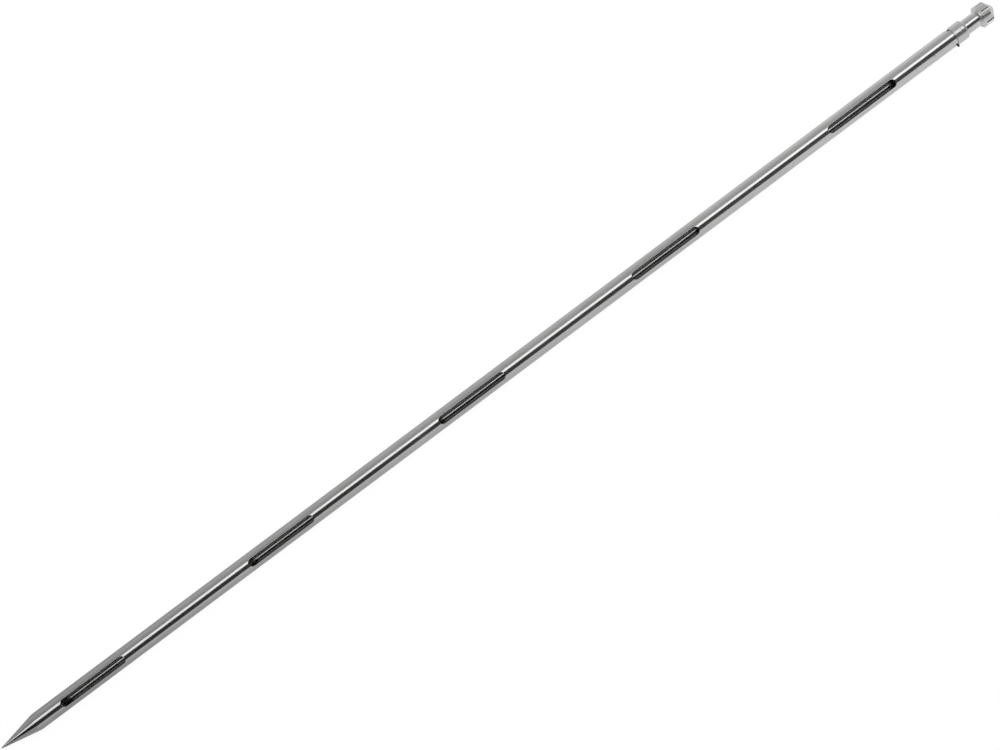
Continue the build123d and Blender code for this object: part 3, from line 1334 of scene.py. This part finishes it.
@dataclass
class Studio:
    """White floor, long boards for the reflections, an even room and the camera."""

    floor_size: float = 30.0
    room_level: float = 0.68
    room_slope: float = 0.5
    floor_level: float = 0.38
    floor_slope: float = 0.16
    boards: tuple[Card, ...] = (
        Card("key_board", -19.2, 5.8, 1.7, 6.0, 1.42, 0.10),
        Card("black_board", 6.3, 53.8, 1.6, 6.0, 0.05, 0.4),
        Card("grey_board", -89.2, -19.7, 1.6, 6.0, 0.46, 0.12, 0.30),
    )
    camera_place: tuple[float, float, float] = (0.172639, -0.467556, 2.586914)
    camera_right: tuple[float, float, float] = (0.799593157, -0.580748239, -0.152912610)
    camera_up: tuple[float, float, float] = (0.597728081, 0.794235814, 0.109135750)
    camera_back: tuple[float, float, float] = (0.058068277, -0.178664360, 0.982195053)
    lens: float = 72.0

    def floor(self) -> None:
        """Lays the floor: white to the camera with a faint shadow, light grey to everything else."""
        half = self.floor_size / 2
        mesh = bpy.data.meshes.new("floor")
        mesh.from_pydata([(-half, -half, 0), (half, -half, 0), (half, half, 0), (-half, half, 0)], [], [(0, 1, 2, 3)])
        floor = bpy.data.objects.new("floor", mesh)
        bpy.context.scene.collection.objects.link(floor)
        made = bpy.data.materials.new("white_floor")
        made.use_nodes = True
        tree = made.node_tree
        tree.nodes.clear()
        out = add_node(tree, "ShaderNodeOutputMaterial")
        path = add_node(tree, "ShaderNodeLightPath")
        place = add_node(tree, "ShaderNodeTexCoord").outputs["Object"]
        split = add_node(tree, "ShaderNodeSeparateXYZ", in_0=place)
        ramp = add_node(tree, "ShaderNodeMath", operation="MULTIPLY_ADD", in_0=split.outputs[0],
                        in_1=self.floor_slope, in_2=self.floor_level)
        grey = add_node(tree, "ShaderNodeClamp", in_0=ramp.outputs[0], in_1=0.1, in_2=0.85)
        paper = add_node(tree, "ShaderNodeBsdfDiffuse", in_Color=grey.outputs[0])
        glow = add_node(tree, "ShaderNodeEmission", in_Color=(1.0, 1.0, 1.0, 1.0), in_Strength=grey.outputs[0])
        plain = add_node(tree, "ShaderNodeAddShader", in_0=paper.outputs[0], in_1=glow.outputs[0])
        matt = add_node(tree, "ShaderNodeBsdfDiffuse", in_Color=(0.10, 0.10, 0.10, 1.0))
        white = add_node(tree, "ShaderNodeEmission", in_Color=(1.0, 1.0, 1.0, 1.0), in_Strength=0.95)
        bright = add_node(tree, "ShaderNodeAddShader", in_0=matt.outputs[0], in_1=white.outputs[0])
        mixed = add_node(tree, "ShaderNodeMixShader", in_0=path.outputs["Is Camera Ray"], in_1=plain.outputs[0],
                         in_2=bright.outputs[0])
        tree.links.new(mixed.outputs[0], out.inputs[0])
        mesh.materials.append(made)
        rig.stage(floor)

    def room(self) -> None:
        """Sets the light from all round: white to the camera, and brighter towards the head for the rest."""
        world = bpy.data.worlds.new("room")
        bpy.context.scene.world = world
        world.use_nodes = True
        tree = world.node_tree
        tree.nodes.clear()
        out = add_node(tree, "ShaderNodeOutputWorld")
        path = add_node(tree, "ShaderNodeLightPath")
        way = add_node(tree, "ShaderNodeTexCoord").outputs["Generated"]
        split = add_node(tree, "ShaderNodeSeparateXYZ", in_0=way)
        ramp = add_node(tree, "ShaderNodeMath", operation="MULTIPLY_ADD", in_0=split.outputs[0],
                        in_1=self.room_slope, in_2=self.room_level)
        level = add_node(tree, "ShaderNodeClamp", in_0=ramp.outputs[0], in_1=0.2, in_2=1.0)
        wall = add_node(tree, "ShaderNodeBackground", in_Color=(1.0, 1.0, 1.0, 1.0), in_Strength=1.0)
        air = add_node(tree, "ShaderNodeBackground", in_Color=(1.0, 1.0, 1.0, 1.0), in_Strength=level.outputs[0])
        mixed = add_node(tree, "ShaderNodeMixShader", in_0=path.outputs["Is Camera Ray"], in_1=air.outputs[0],
                         in_2=wall.outputs[0])
        tree.links.new(mixed.outputs[0], out.inputs[0])

    def camera(self) -> None:
        """Sets the camera that looks down on the probe from beyond its middle."""
        data = bpy.data.cameras.new("camera")
        data.lens, data.sensor_width = self.lens, 36.0
        data.clip_end = 60.0
        camera = bpy.data.objects.new("camera", data)
        bpy.context.scene.collection.objects.link(camera)
        seat = Matrix((Vector(self.camera_right), Vector(self.camera_up), Vector(self.camera_back))).transposed()
        seat = seat.to_4x4()
        seat.translation = Vector(self.camera_place)
        camera.matrix_world = seat
        bpy.context.scene.camera = camera

    def build(self) -> None:
        """Sets up the whole studio."""
        bpy.context.scene.view_settings.view_transform = "Standard"
        self.camera()
        self.floor()
        self.room()
        for board in self.boards:
            board.board()
        log.info("studio: %d boards", len(self.boards))


def dress_hidden_nodes() -> None:
    """Finishes the CAD nodes that keep their own shape, which only show through the slots."""
    TURNED_PLUG.dress(frame["nodes"]["foot_plug"])
    for number in range(1, 5):
        WHITE_PLASTIC.dress(frame["nodes"][f"partition_{number}"])
    log.info("foot plug and partitions dressed")


def write_sizes() -> None:
    """Writes the box of the CAD and of the finished probe for comparison."""
    boxes = {"cad": [list(corner) for corner in cad_box], "visual": [list(corner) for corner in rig.bounds()]}
    with open("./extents.json", "w", encoding="utf-8") as out:
        json.dump(boxes, out)


def main() -> None:
    """Builds the probe piece by piece, dresses it and sets up the studio."""
    logging.basicConfig(level=logging.INFO, format="%(name)s: %(message)s")
    sizes = ProbeSizes()
    line = ProbeLine(sizes)
    Studio().build()
    outer = OuterTube(line, "outer_tube_slotted", sizes.tube_radius, sizes.tube_bore, sizes.cone_length, sizes.rim)
    inner = SlottedTube(line, "inner_tube_slotted", sizes.inner_radius, sizes.inner_bore, sizes.inner_start,
                        sizes.inner_end)
    hand_over(outer.build(), "outer", POLISHED_TUBE, "outer_tube")
    hand_over(PointedTip(line).build(), "outer", POLISHED_POINT, "pointed_tip")
    hand_over(GuidePin(line).build(), "outer", GROUND_PIN, "guide_pin")
    hand_over(inner.build(), "inner", DRAWN_TUBE, "inner_tube")
    head = TurningHead(line)
    fluted_head = head.build()
    hand_over(fluted_head, "inner", TURNED_HEAD, "turning_head")
    head.satin_zones(fluted_head)
    stop_pin = DarkPin(line, "stop_pin_dark", sizes.stop_angle, radius=1.6, root=5.0, top=sizes.tube_radius + 3.1)
    end_pin = DarkPin(line, "end_pin_dark", sizes.stop_angle + sizes.window_sweep, radius=sizes.notch_radius - 0.02,
                      root=sizes.tube_bore + 0.05, top=sizes.tube_radius - 0.1, break_width=0.25)
    hand_over(stop_pin.build(), "inner", DARK_PIN, "stop_pin")
    hand_over(end_pin.build(), "outer", DARK_PIN, "end_pin")
    dress_hidden_nodes()
    write_sizes()


if __name__ == "__main__":
    main()
